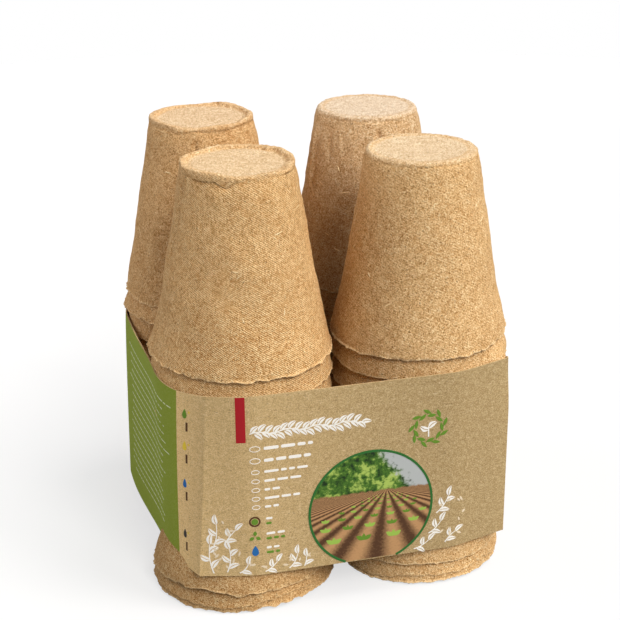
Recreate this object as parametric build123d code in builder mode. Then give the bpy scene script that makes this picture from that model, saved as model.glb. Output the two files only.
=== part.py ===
from build123d import *
import math
import os

# A retail pack of moulded-fibre plant pots: four stacks of upturned, nested pots in one card sleeve.
# Millimetres. The pack stands on z = 0, its middle is on the Z axis and its front faces -Y.

# One pot, standing on its rim with its base up
rim_diameter = 80.0
base_diameter = 49.0
pot_height = 84.0
wall = 1.45
floor_thickness = 1.8
rim_flare = 1.0
flare_height = 6.0

# The base of a pot: a lip over a shallow neck, and a raised ring round a sunk disc
lip_height = 2.6
lip_chamfer = 0.8
neck_depth = 0.5
neck_length = 7.0
ring_width = 4.5
recess_depth = 1.2
recess_slope = 1.5

# The stacks: how many pots each holds, and how loosely they sit in each other and side by side
pots_per_stack = 12
nest_clearance = 0.3
stack_gap = 2.5

# The sleeve: a band of card drawn tight round the rims, creased at its four corners
sleeve_bottom = 19.0
sleeve_height = 88.0
board = 0.6
sleeve_clearance = 0.3
crease_standoff = 4.5
flap_clearance = 0.5

# The wall's taper follows from the pot's outline, without the flare at its rim
rim_radius = rim_diameter / 2
base_radius = base_diameter / 2
taper_rise = (rim_radius - rim_flare - base_radius) / pot_height
taper = math.atan(taper_rise)
level_wall = wall / math.cos(taper)

# A pot slides down over the next until their walls wedge, or its floor lands on the base below
wedge_pitch = (wall + nest_clearance) / math.sin(taper)
landing_pitch = floor_thickness + recess_depth + nest_clearance
nest_pitch = max(wedge_pitch, landing_pitch)
stack_pitch = rim_diameter + stack_gap


def outer_radius(height):
    """Radius of the tapered outer wall at a height above the rim."""
    return base_radius + (pot_height - height) * taper_rise


def inner_radius(height):
    """Radius of the tapered inner wall at a height above the rim."""
    return outer_radius(height) - level_wall


# The pot is turned from half of its section
lip_foot = pot_height - lip_height
neck_foot = lip_foot - neck_length
lip_shoulder = pot_height - lip_chamfer
ring_top_outer = outer_radius(lip_shoulder) - lip_chamfer
ring_top_inner = base_radius - ring_width
recess_floor = pot_height - recess_depth
inner_floor = recess_floor - floor_thickness

with BuildPart() as pot:
    with BuildSketch(Plane.XZ) as section:
        with BuildLine():
            Polyline(
                (0, inner_floor),
                (inner_radius(inner_floor), inner_floor),
                (inner_radius(flare_height), flare_height),
                (rim_radius - level_wall, 0),
                (rim_radius, 0),
                (outer_radius(flare_height), flare_height),
                (outer_radius(neck_foot), neck_foot),
                (outer_radius(lip_foot) - neck_depth, lip_foot),
                (outer_radius(lip_foot), lip_foot),
                (outer_radius(lip_shoulder), lip_shoulder),
                (ring_top_outer, pot_height),
                (ring_top_inner, pot_height),
                (ring_top_inner - recess_slope, recess_floor),
                (0, recess_floor),
                close=True,
            )
        make_face()
    revolve(axis=Axis.Z)

# The sleeve lies flat between two stacks, follows each rim and leaves it in a straight run to the crease
band_radius = rim_radius + sleeve_clearance
crease_angle = math.acos(band_radius / (band_radius + crease_standoff))
corner_turn = math.pi / 2
half_pitch = stack_pitch / 2


def corner_point(corner, reach, turn=0.0):
    """Point at a distance from a corner stack's axis, turned from the diagonal that leads outwards."""
    angle = (corner + 0.5) * corner_turn
    sign_x = math.copysign(1, math.cos(angle))
    sign_y = math.copysign(1, math.sin(angle))
    x = sign_x * half_pitch + reach * math.cos(angle + turn)
    y = sign_y * half_pitch + reach * math.sin(angle + turn)
    return Vector(x, y)


def band_outline(radius):
    """Closed outline of the band at a radius round the stacks' axes, corner by corner."""
    crease_reach = radius / math.cos(crease_angle)
    lean = corner_turn / 2
    bend = (lean + crease_angle) / 2
    for corner in range(4):
        arrive = corner_point(corner, radius, -lean)
        leave = corner_point(corner, radius, -crease_angle)
        crease = corner_point(corner, crease_reach)
        touch = corner_point(corner, radius, crease_angle)
        depart = corner_point(corner, radius, lean)
        ThreePointArc(arrive, corner_point(corner, radius, -bend), leave)
        Polyline(leave, crease, touch)
        ThreePointArc(touch, corner_point(corner, radius, bend), depart)
        Line(depart, corner_point((corner + 1) % 4, radius, -lean))


# The glue flap lies inside the back right corner, from its crease to where the rim leaves it no more room
flap_corner = 0
flap_skin = band_radius - board
flap_stop = math.sqrt((rim_radius + flap_clearance) ** 2 - flap_skin**2)


def run_point(radius, along):
    """Point on the flap's straight run, at a distance from where the run leaves the rim."""
    turn = crease_angle - math.atan2(along, radius)
    return corner_point(flap_corner, math.hypot(radius, along), turn)


with BuildPart() as sleeve:
    with BuildSketch(Plane.XY.offset(sleeve_bottom)) as band:
        with BuildLine():
            band_outline(band_radius + board)
        make_face()
        with BuildLine():
            band_outline(band_radius)
        make_face(mode=Mode.SUBTRACT)
        with BuildLine():
            Polyline(
                run_point(band_radius, band_radius * math.tan(crease_angle)),
                run_point(band_radius, flap_stop),
                run_point(flap_skin, flap_stop),
                run_point(flap_skin, flap_skin * math.tan(crease_angle)),
                close=True,
            )
        make_face()
    extrude(amount=sleeve_height)

# Every pot is written at its own place in the pack, counted up from the floor
stack_corners = {"back_right": 0, "back_left": 1, "front_left": 2, "front_right": 3}

os.makedirs("parts", exist_ok=True)

sleeve.part.label = "sleeve"
export_step(sleeve.part, "parts/sleeve.step")

for stack, corner in stack_corners.items():
    foot = corner_point(corner, 0)
    for level in range(pots_per_stack):
        seat = Location((foot.X, foot.Y, level * nest_pitch))
        nested_pot = pot.part.moved(seat)
        nested_pot.label = f"pot_{stack}_{level + 1:02d}"
        export_step(nested_pot, f"parts/{nested_pot.label}.step")
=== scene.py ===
import math
import bpy
import numpy as np
from mathutils import Matrix, Vector


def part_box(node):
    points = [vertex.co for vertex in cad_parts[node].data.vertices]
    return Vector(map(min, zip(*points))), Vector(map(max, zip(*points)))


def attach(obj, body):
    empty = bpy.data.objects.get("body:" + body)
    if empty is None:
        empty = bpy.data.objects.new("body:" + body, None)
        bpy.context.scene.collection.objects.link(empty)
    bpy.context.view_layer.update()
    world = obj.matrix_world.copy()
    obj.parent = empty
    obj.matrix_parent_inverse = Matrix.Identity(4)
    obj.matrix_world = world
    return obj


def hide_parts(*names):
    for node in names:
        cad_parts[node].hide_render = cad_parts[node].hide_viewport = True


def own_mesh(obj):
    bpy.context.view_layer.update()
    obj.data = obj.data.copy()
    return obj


# A retail pack of moulded-fibre plant pots: four stacks of upturned, nested pots in one printed sleeve.
# Shapes are worked out in millimetres in the frame of the solids, and become metres as meshes are made.

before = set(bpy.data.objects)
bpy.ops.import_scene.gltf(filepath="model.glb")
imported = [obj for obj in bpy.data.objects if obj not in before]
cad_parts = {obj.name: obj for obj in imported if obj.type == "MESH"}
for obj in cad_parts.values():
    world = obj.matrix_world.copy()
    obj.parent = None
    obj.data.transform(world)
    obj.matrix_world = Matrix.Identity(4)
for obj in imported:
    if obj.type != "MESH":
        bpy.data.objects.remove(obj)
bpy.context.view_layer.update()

MM = 0.001
FULL_TURN = 2 * math.pi
QUARTER = math.pi / 2
SEED = 4821

STACKS = ("front_left", "front_right", "back_left", "back_right")
LEVELS = 12
SHOWN_LEVELS = (1, 2, 9, 10, 11, 12)

# Points round a pot, rows up its wall and splinters in it, where it shows and where it is hidden
SHOWN_DETAIL = (520, 28, 56)
HIDDEN_DETAIL = (112, 12, 14)


def pot_node(stack, level):
    """Name of the pot at a level of a stack, counted up from the floor."""
    return f"pot_{stack}_{level:02d}"


def pot_foot(stack, level):
    """Middle of a pot's rim, in millimetres."""
    low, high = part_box(pot_node(stack, level))
    return np.array([(low.x + high.x) / 2, (low.y + high.y) / 2, low.z]) / MM


# Sizes of the pots and of the sleeve, read from the solids
pot_low, pot_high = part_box(pot_node("front_left", 1))
sleeve_low, sleeve_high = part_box("sleeve")
RIM_RADIUS = (pot_high.x - pot_low.x) / 2 / MM
POT_HEIGHT = (pot_high.z - pot_low.z) / MM
HALF_PITCH = abs(pot_foot("front_left", 1)[0])
BAND_RADIUS = sleeve_high.x / MM - HALF_PITCH
BAND_BOTTOM = sleeve_low.z / MM
BAND_TOP = sleeve_high.z / MM

# A pot's section
BASE_RADIUS = 24.5
WALL = 1.45
FLOOR = 1.8
FLARE = 1.0
FLARE_LENGTH = 24.0
LIP_HEIGHT = 2.6
NECK_DEPTH = 0.6
NECK_LENGTH = 7.0
RING_WIDTH = 2.4
RECESS_DEPTH = 1.7
RECESS_SLOPE = 0.6
TAPER = (RIM_RADIUS - FLARE - BASE_RADIUS) / POT_HEIGHT
FRONT_TURN = math.radians(255)

# How uneven the moulded fibre is
DECKLE = 0.35
RAG = 0.34
DECKLE_FADE = 4.0
TEAR = 0.16
FRAY = 0.28
FLASH = 0.4
FLASH_FADE = 0.4
FLASH_HEIGHT = 0.25
FLASH_LIMITS = (0, 2)
LUMP = 0.28
PUCKER = 0.1
HEM_WAVE = 0.35
NECK_LIMITS = (0.0, 1.3)
OVERHANG = 0.3
OVERHANG_LIMITS = (-0.05, 0.55)
RING_WAVE = 0.2
RING_LIMITS = (0.3, 1.3)
DISH = 0.22
GRIT = 0.1
GRAIN_SPAN = 900
# How much painted shade darkens the pulp in each colour where it is full
PAINTED_SHADE_DEPTH = np.array([0.44, 0.43, 0.42])
PLY = 0.8
PLY_WAVE = 0.9
PLY_TEAR = 0.3
PLY_EDGE = 0.3
PLY_FLUFF = 0.35
PLY_FADE = 5
PUSH_FADE = 6
TILT_REACH = 30
BELLY_REACH = 4

# Folds in the wall: slant in radians a millimetre, half-width in radians, depth, where they start above the
# rim and end below the base, and how far they fade in and out
FOLD_SLANT = 0.003
FOLD_WIDTHS = (0.03, 0.06)
FOLD_DEPTH = 0.85
DEEPEST_FOLD = -1.2
HIGHEST_FOLD = 0.9
FOLD_FEET = (20, 62)
FOLD_END = 5
FOLD_FADES = (12, 6)

# Rows of points: heights above the rim, drops below the lip, shares of the disc's radius, and the radius at
# which both ends close
FOOT_ROWS = (0.45, 0.7, 1.0, 1.6, 2.5, 3.7, 5.0, 6.3, 7.5)
PLY_ROWS = np.arange(2.0, 9.0, 0.35)
NECK_ROWS = (5.0, 3.2, 1.8, 0.8, 0.2)
INNER_ROWS = (5.5, 3.8, 2.2, 1.0)
DISC_ROW_SHARES = (0.9, 0.75, 0.6, 0.45, 0.3, 0.15)
HUB = 0.4

# Rows up the lip: the height that each starts from, its share of the overhang, how far out and up it is,
# how much further in and down where the lip is soft, how torn it is, and its share of bare pulp
LIP_ROWS = (
    ("foot", 0.7, 0.0, 0.15, 0.0, 0.0, 0.1, 0.0),
    ("foot", 1.0, 0.0, 0.6, 0.0, 0.0, 0.1, 0.0),
    ("middle", 0.85, 0.0, 0.0, 0.1, 0.2, 0.1, 0.3),
    ("top", 0.6, -0.1, -0.45, 0.3, 0.3, 0.1, 0.6),
    ("top", 0.3, -0.4, -0.08, 0.7, 0.1, 0.1, 1.0),
    ("top", 0.0, -0.8, 0.0, 0.5, 0.0, 0.0, 1.0),
)

# The card of the sleeve
CARD = 0.6
CREASE_STANDOFF = 4.5
RIGHT_SLACK = 1.2
CREASE_HALF = 0.5


def smooth(value):
    """Soft step from 0 to 1."""
    share = np.clip(value, 0, 1)
    return share * share * (3 - 2 * share)


def full_turn(count):
    """Angles of places spread evenly all round."""
    return np.linspace(0, FULL_TURN, count, endpoint=False)


def srgb(red, green, blue):
    """Linear colour of a colour given as it looks on a screen, from 0 to 255."""
    parts = []
    for part in (red, green, blue):
        share = part / 255
        parts.append(share / 12.92 if share <= 0.04045 else ((share + 0.055) / 1.055) ** 2.4)
    return (*parts, 1.0)


class Nodes:
    """Short calls for the nodes of a material or of the world."""

    def __init__(self, tree):
        self.tree = tree

    def feed(self, socket, value):
        """Links or sets one socket."""
        if isinstance(value, bpy.types.NodeSocket):
            self.tree.links.new(value, socket)
        else:
            socket.default_value = value

    def add(self, kind, sockets, **settings):
        """New node with its settings, and its sockets fed by name or number."""
        node = self.tree.nodes.new("ShaderNode" + kind)
        for key, value in settings.items():
            setattr(node, key, value)
        for key, value in sockets.items():
            self.feed(node.inputs[key], value)
        return node

    def attribute(self, name):
        """Vector stored with the mesh."""
        return self.add("Attribute", {}, attribute_name=name).outputs["Vector"]

    def split(self, vector):
        """The three parts of a vector."""
        return self.add("SeparateXYZ", {0: vector}).outputs

    def math(self, operation, first, second=0.0, third=0.0):
        """One step of arithmetic."""
        return self.add("Math", {0: first, 1: second, 2: third}, operation=operation).outputs[0]

    def times(self, first, second, more=None):
        """Product of two values, which a third may be added to."""
        if more is None:
            return self.math("MULTIPLY", first, second)
        return self.math("MULTIPLY_ADD", first, second, more)

    def blend(self, parts):
        """Weighted total of values that run from 0 to 1, around zero."""
        total = -0.5 * sum(weight for _, weight in parts)
        for value, weight in parts:
            total = self.times(value, weight, total)
        return total

    def stretch(self, vector, factors):
        """Vector with each part multiplied."""
        return self.add("VectorMath", {0: vector, 1: factors}, operation="MULTIPLY").outputs[0]

    def noise(self, vector, scale, detail=2.0, roughness=0.5):
        """Soft noise from 0 to 1."""
        sockets = {"Vector": vector, "Scale": scale, "Detail": detail, "Roughness": roughness}
        return self.add("TexNoise", sockets).outputs[0]

    def cells(self, vector, scale):
        """Distance to the nearest of scattered points, and that point's lot from 0 to 1."""
        node = self.add("TexVoronoi", {"Vector": vector, "Scale": scale})
        lot = self.add("SeparateColor", {0: node.outputs["Color"]}).outputs[0]
        return node.outputs["Distance"], lot

    def step(self, value, low, high, start=0.0, end=1.0):
        """Value moved from one range to another and kept in it."""
        sockets = {"Value": value, "From Min": low, "From Max": high, "To Min": start, "To Max": end}
        return self.add("MapRange", sockets).outputs[0]

    def mix(self, share, first, second):
        """Colour part of the way from the first to the second."""
        return self.add("Mix", {0: share, 6: first, 7: second}, data_type="RGBA").outputs[2]

    def tinge(self, colour, mask, strength, other):
        """Colour moved some way towards another where a mask is high."""
        return self.mix(self.times(mask, strength), colour, other)

    def shade(self, colour, value):
        """Colour made darker or lighter by a factor."""
        node = self.add("Mix", {0: 1.0, 6: colour, 7: value}, data_type="RGBA", blend_type="MULTIPLY")
        return node.outputs[2]

    def specks(self, vector, scale, radius, chance):
        """Scattered spots, on a share of the places where one could be."""
        distance, lot = self.cells(vector, scale)
        spot = self.step(distance, radius * 0.5, radius, 1.0, 0.0)
        return self.times(spot, self.step(lot, 1 - chance, 1.02 - chance))

    def threads(self, vector, scale, width):
        """Thin winding lines, broken here and there."""
        field = self.noise(vector, scale, 1.0)
        near = self.math("ABSOLUTE", self.math("SUBTRACT", field, 0.5))
        line = self.step(near, 0.0, width, 1.0, 0.0)
        gaps = self.step(self.noise(vector, scale * 1.7), 0.5, 0.62)
        return self.times(line, gaps)


class Finish(Nodes):
    """One material."""

    def __init__(self, name, roughness, specular):
        self.material = bpy.data.materials.new(name)
        self.material.use_nodes = True
        super().__init__(self.material.node_tree)
        self.shader = self.tree.nodes["Principled BSDF"]
        self.shader.inputs["Roughness"].default_value = roughness
        self.shader.inputs["Specular IOR Level"].default_value = specular

    def bump(self, height, depth):
        """Height in millimetres over the surface."""
        node = self.add("Bump", {"Height": height, "Distance": depth * MM})
        self.feed(self.shader.inputs["Normal"], node.outputs[0])

    def paint(self, colour):
        """Links the colour and gives the finished material."""
        self.feed(self.shader.inputs["Base Color"], colour)
        return self.material


def unrolled(finish, place):
    """Place on a pot's wall when it is rolled out flat: millimetres to the right of its front, and down."""
    ahead = finish.times(place[0], math.cos(FRONT_TURN))
    ahead = finish.times(place[1], math.sin(FRONT_TURN), ahead)
    aside = finish.times(place[0], -math.sin(FRONT_TURN))
    aside = finish.times(place[1], math.cos(FRONT_TURN), aside)
    slope = math.atan(TAPER)
    turn = finish.times(finish.math("ARCTAN2", aside, ahead), math.sin(slope))
    tip = POT_HEIGHT + BASE_RADIUS / TAPER
    reach = finish.times(place[2], -1 / MM / math.cos(slope), tip / math.cos(slope))
    across = finish.times(reach, finish.math("SINE", turn))
    down = finish.times(reach, finish.math("COSINE", turn))
    return across, down


# Finishes: noises have their scale in waves a millimetre, as the grain is stored in millimetres

PULP_TAN = srgb(213, 165, 108)
PULP_LIGHT_TAN = srgb(226, 179, 120)
PULP_DARK = srgb(146, 99, 42)
PULP_PALE = srgb(255, 231, 180)
BASE_TAN = srgb(228, 199, 158)
BASE_PALE = srgb(255, 244, 214)
PALE_FIBRE = srgb(250, 226, 178)
DARK_FIBRE = srgb(122, 82, 42)
DARK_SPECK = srgb(88, 54, 26)
TORN_PULP = srgb(243, 214, 164)
STRAW_TAN = srgb(226, 188, 132)
STRAW_PALE = srgb(255, 236, 190)
KRAFT_BROWN = srgb(193, 163, 112)
CARD_GREEN = srgb(139, 156, 50)
CUT_EDGE_BROWN = srgb(200, 172, 124)
INSIDE_BROWN = srgb(180, 150, 104)
CARD_PALE = srgb(255, 236, 196)
CARD_DARK = srgb(84, 60, 30)
CARD_THREAD = srgb(255, 240, 206)
CARD_FLECK = srgb(70, 46, 22)


def fibre_finish():
    """Pressed pulp: speckled tan, with pale threads, dark specks and the slanted print of a mesh."""
    finish = Finish("pulp_fibre", 0.95, 0.1)
    grain = finish.attribute("grain")
    torn, base, twill = finish.split(finish.attribute("wear"))
    ribs, rise, _ = finish.split(finish.attribute("mould"))
    place = finish.split(finish.add("TexCoord", {}).outputs["Object"])
    broad = finish.noise(grain, 0.045, 3.0)
    patch = finish.noise(grain, 0.28, 3.0, 0.6)
    coarse = finish.noise(grain, 1.0, 3.0, 0.7)
    fine = finish.noise(grain, 2.3, 2.0, 0.6)

    across, down = unrolled(finish, place)
    waves = finish.times(across, ribs, finish.noise(grain, 0.12, 2.0))
    waves = finish.math("SUBTRACT", waves, finish.times(down, rise))
    phase = finish.times(waves, FULL_TURN)
    strength = finish.times(finish.step(patch, 0.36, 0.58, 0.5, 1.0), twill)
    weave = finish.times(finish.math("SINE", phase), strength)

    tone = finish.blend(((patch, 0.5), (coarse, 1.25), (fine, 2.2)))
    tone = finish.times(weave, 0.28, tone)
    tone = finish.times(tone, finish.step(base, 0.0, 1.0, 1.0, 0.9))
    tone = finish.math("ADD", tone, 0.5)
    middle = finish.mix(finish.step(broad, 0.3, 0.7), PULP_TAN, PULP_LIGHT_TAN)
    middle = finish.tinge(middle, base, 0.85, BASE_TAN)
    colour = finish.mix(finish.step(tone, 0.0, 0.5), PULP_DARK, middle)
    pale_end = finish.mix(base, PULP_PALE, BASE_PALE)
    colour = finish.mix(finish.step(tone, 0.5, 1.0), colour, pale_end)

    pale = finish.threads(grain, 0.3, 0.014)
    colour = finish.tinge(colour, pale, 0.45, PALE_FIBRE)
    dark = finish.threads(finish.stretch(grain, (1.0, 1.0, 1.7)), 0.42, 0.012)
    colour = finish.tinge(colour, dark, 0.5, DARK_FIBRE)
    speck = finish.specks(grain, 0.42, 0.16, 0.3)
    colour = finish.tinge(colour, speck, 0.7, DARK_SPECK)
    colour = finish.tinge(colour, torn, finish.step(coarse, 0.35, 0.65, 0.2, 0.9), TORN_PULP)
    # The tint holds the stack's tint and painted shade: darker in the gaps between the stacks and round the
    # front left feet
    colour = finish.shade(colour, finish.attribute("tint"))

    height = finish.blend(((weave, 0.14), (coarse, 0.8), (patch, 0.5), (fine, 0.5), (pale, 0.4)))
    finish.bump(height, 0.5)
    return finish.paint(colour)


def straw_finish():
    """Splinters of straw pressed into the pulp."""
    finish = Finish("straw", 0.7, 0.3)
    grain = finish.attribute("grain")
    tone = finish.noise(grain, 0.35, 2.0)
    colour = finish.mix(finish.step(tone, 0.35, 0.65), STRAW_TAN, STRAW_PALE)
    return finish.paint(finish.shade(colour, finish.step(finish.noise(grain, 3.0), 0.3, 0.7, 0.85, 1.1)))


def card_finish(name, colour, contrast, painted_light=()):
    """Card with the flecked grain of recycled fibre, with any painted light and shade along its run."""
    finish = Finish(name, 0.85, 0.2)
    grain = finish.attribute("grain")
    cloud = finish.noise(grain, 0.4, 3.0, 0.6)
    coarse = finish.noise(grain, 1.1, 3.0, 0.7)
    fine = finish.noise(grain, 2.4, 2.0, 0.6)
    across = finish.split(grain)[0]
    # Painted light and shade: the tone is scaled along the run to even out how the lamps fall on the card
    for start, end, first, last in painted_light:
        colour = finish.shade(colour, finish.step(across, start, end, first, last))
    tone = finish.blend(((cloud, 0.5), (coarse, 1.0), (fine, 1.4)))
    colour = finish.mix(finish.step(tone, 0.0, 0.5, 0.0, contrast), colour, CARD_PALE)
    colour = finish.mix(finish.step(tone, -0.5, 0.0, contrast, 0.0), colour, CARD_DARK)
    threads = finish.threads(grain, 0.5, 0.02)
    colour = finish.tinge(colour, threads, 0.4 * contrast, CARD_THREAD)
    fleck = finish.specks(finish.stretch(grain, (0.6, 1.2, 1.0)), 0.6, 0.2, 0.3)
    colour = finish.tinge(colour, fleck, 0.6 * contrast, CARD_FLECK)
    finish.bump(finish.blend(((coarse, 0.5), (fine, 1.0))), 0.06)
    return finish.paint(colour)


INK_MOTTLE = 0.06


def ink_finish(name, colour):
    """Ink that lets a little of the card's grain through."""
    finish = Finish(name, 0.75, 0.2)
    grain = finish.attribute("grain")
    fine = finish.noise(grain, 1.6, 3.0, 0.6)
    tone = finish.step(fine, 0.25, 0.75, 1.0 - INK_MOTTLE, 1.0 + INK_MOTTLE)
    return finish.paint(finish.shade(colour, tone))


PICTURE_RUN = 7.0
PICTURE_HEIGHT = 45.4
PICTURE_RADIUS = 28.5
PICTURE_RING = 1.1
PICTURE_POINTS = 90
HORIZON_SHARE = 0.3
VANISHING_SHARE = 0.25
FURROWS = 11.0
HEDGE_SHADE = srgb(22, 44, 16)
HEDGE_GREEN = srgb(74, 116, 38)
HEDGE_LIGHT = srgb(176, 200, 96)
FURROW_DARK = srgb(84, 54, 32)
FURROW_LIGHT = srgb(196, 150, 102)
SKY = srgb(188, 192, 190)


def picture_finish():
    """The ground of the printed picture: a ploughed bed that runs back to a hedge."""
    finish = Finish("picture_ink", 0.6, 0.3)
    grain = finish.attribute("grain")
    across, up, _ = finish.split(grain)
    x = finish.step(across, PICTURE_RUN - PICTURE_RADIUS, PICTURE_RUN + PICTURE_RADIUS, -1.0, 1.0)
    y = finish.step(up, PICTURE_HEIGHT - PICTURE_RADIUS, PICTURE_HEIGHT + PICTURE_RADIUS, -1.0, 1.0)
    bush = finish.noise(grain, 0.11, 2.0, 0.5)
    leaves = finish.noise(grain, 0.42, 4.0, 0.65)
    mass = finish.times(bush, 0.9, finish.times(leaves, 1.1))
    hedge = finish.mix(finish.step(mass, 0.78, 0.98), HEDGE_SHADE, HEDGE_GREEN)
    hedge = finish.mix(finish.step(mass, 1.0, 1.16), hedge, HEDGE_LIGHT)
    depth = finish.math("SUBTRACT", HORIZON_SHARE + 0.02, y)
    fan = finish.math("DIVIDE", finish.math("SUBTRACT", x, VANISHING_SHARE), depth)
    furrow = finish.math("SINE", finish.times(fan, FURROWS))
    crumb = finish.noise(grain, 0.9, 4.0, 0.7)
    ridge = finish.times(crumb, 0.9, finish.times(furrow, 0.5))
    soil = finish.mix(finish.step(ridge, 0.0, 0.9), FURROW_DARK, FURROW_LIGHT)
    lean = finish.times(x, 0.8, finish.times(leaves, 0.5))
    open_sky = finish.times(y, 0.6, lean)
    hedge = finish.mix(finish.step(open_sky, 0.88, 1.0), hedge, SKY)
    edge = finish.times(finish.noise(grain, 0.3, 2.0), 0.1, y)
    above = finish.step(edge, HORIZON_SHARE + 0.03, HORIZON_SHARE + 0.06)
    return finish.paint(finish.mix(above, soil, hedge))


# Meshes

def store(mesh, name, vectors):
    """Keeps one vector for each point with the mesh."""
    attribute = mesh.attributes.new(name, "FLOAT_VECTOR", "POINT")
    attribute.data.foreach_set("vector", np.asarray(vectors, np.float32).ravel())


def add_piece(name, points, faces, materials, grain, face_materials=None):
    """New smooth mesh object from points in millimetres, with its texture coordinates."""
    mesh = bpy.data.meshes.new(name)
    mesh.from_pydata((points * MM).tolist(), [], faces)
    for material in materials:
        mesh.materials.append(material)
    if face_materials is not None:
        mesh.polygons.foreach_set("material_index", face_materials)
    mesh.polygons.foreach_set("use_smooth", [True] * len(mesh.polygons))
    store(mesh, "grain", grain)
    mesh.update()
    piece = bpy.data.objects.new(name, mesh)
    bpy.context.scene.collection.objects.link(piece)
    return piece


def band_faces(rows, segments, bands):
    """Quads between rows of points that each go once round. A band after the last row meets the first."""
    band = np.arange(bands)[:, None]
    below = band * segments
    above = (band + 1) % rows * segments
    here = np.arange(segments)[None, :]
    there = (here + 1) % segments
    quads = np.stack([below + here, below + there, above + there, above + here], axis=-1)
    return quads.reshape(-1, 4).tolist()


def closed_faces(rows, segments):
    """Quads between the rows, and one face to close each end."""
    first = list(range(segments))[::-1]
    last = list(range((rows - 1) * segments, rows * segments))
    return band_faces(rows, segments, rows - 1) + [first, last]


class Swell:
    """Soft unevenness over a pot's wall that meets itself round the pot, with a spread of about one."""

    def __init__(self, rng, count, most_turns, length):
        self.around = rng.integers(0, most_turns + 1, count)
        self.up = rng.normal(0, FULL_TURN / length, count)
        self.start = rng.uniform(0, FULL_TURN, count)

    def at(self, turn, height):
        """Its value at places on the wall."""
        waves = self.around[:, None] * turn + self.up[:, None] * height + self.start[:, None]
        return np.sin(waves).sum(axis=0) / math.sqrt(len(self.around) / 2)


class Folds:
    """Slim folds and dents that run down the wall from the base, as wet pulp takes them."""

    def __init__(self, rng, count):
        self.middle = rng.uniform(0, FULL_TURN, count)
        self.slant = rng.normal(0, FOLD_SLANT, count)
        self.width = rng.uniform(*FOLD_WIDTHS, count)
        self.depth = np.clip(rng.normal(0, FOLD_DEPTH, count), DEEPEST_FOLD, HIGHEST_FOLD)
        self.low = rng.uniform(*FOLD_FEET, count)

    def at(self, turn, height):
        """Their value at places on the wall."""
        total = 0.0 * turn
        fade_in, fade_out = FOLD_FADES
        folds = zip(self.middle, self.slant, self.width, self.depth, self.low)
        for middle, slant, width, depth, low in folds:
            off = (turn - middle - slant * (height - low) + math.pi) % FULL_TURN - math.pi
            reach = smooth((height - low) / fade_in) * smooth((POT_HEIGHT - FOLD_END - height) / fade_out)
            total = total + depth * reach * np.exp(-((off / width) ** 2))
        return total


def wall_radius(height):
    """Outer radius of a pot's straight wall at a height above its rim."""
    return BASE_RADIUS + (POT_HEIGHT - height) * TAPER


def flare(height):
    """How far the wall spreads towards the pot's rim."""
    return FLARE * (1 - smooth(height / FLARE_LENGTH))


def wall_heights(rows, plies):
    """Heights of the rows up a pot's outer wall, closer together at both ends and where a ply is torn."""
    foot = np.array(FOOT_ROWS)
    if plies:
        foot = np.concatenate([foot[foot < PLY_ROWS[0]], PLY_ROWS])
    neck = POT_HEIGHT - LIP_HEIGHT - np.array([NECK_LENGTH, *NECK_ROWS])
    middle = np.linspace(foot[-1], neck[0], rows + 2)[1:-1]
    return np.concatenate([foot, middle, neck])


def facing(turn, direction, sharpness):
    """How much places round a pot face a direction in degrees, from 0 to 1."""
    return np.clip(np.cos(turn - math.radians(direction)), 0, 1) ** sharpness


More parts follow.
